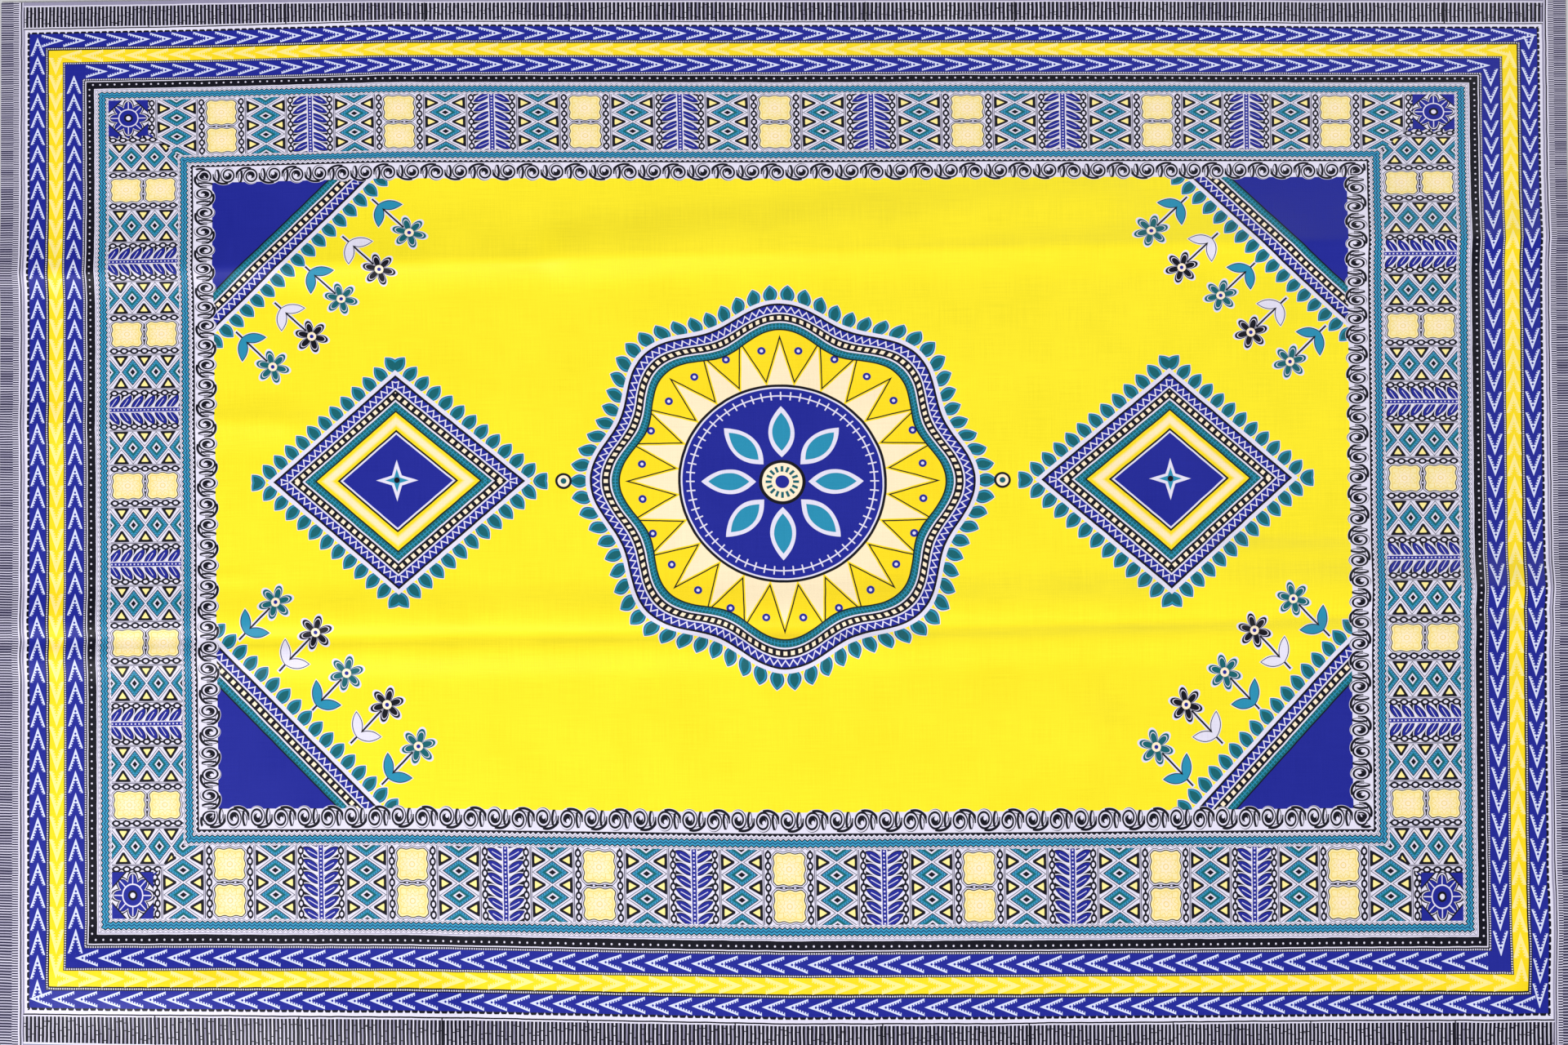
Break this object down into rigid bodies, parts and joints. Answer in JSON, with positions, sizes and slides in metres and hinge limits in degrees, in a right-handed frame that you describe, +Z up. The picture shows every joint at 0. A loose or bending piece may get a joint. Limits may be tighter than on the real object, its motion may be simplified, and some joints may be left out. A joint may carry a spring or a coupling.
{
  "type": "wax print fabric",
  "caption": "Length of bordered wax print cotton laid flat, with woven selvedges, cut ends and soft packing folds.",
  "frame": {"origin": "middle of the cloth's box, on the surface that it lies on", "axes": "+X towards the right selvedge, +Y towards the upper cut end, +Z up"},
  "size_m": [1.1764, 0.792, 0.0091],
  "materials": {
    "printed_cotton": "printed in yellow, blue, teal, black and white, with a light wax sheen"
  },
  "bodies": {
    "root": {"cloth_panel": "printed_cotton"}
  },
  "joints": []
}
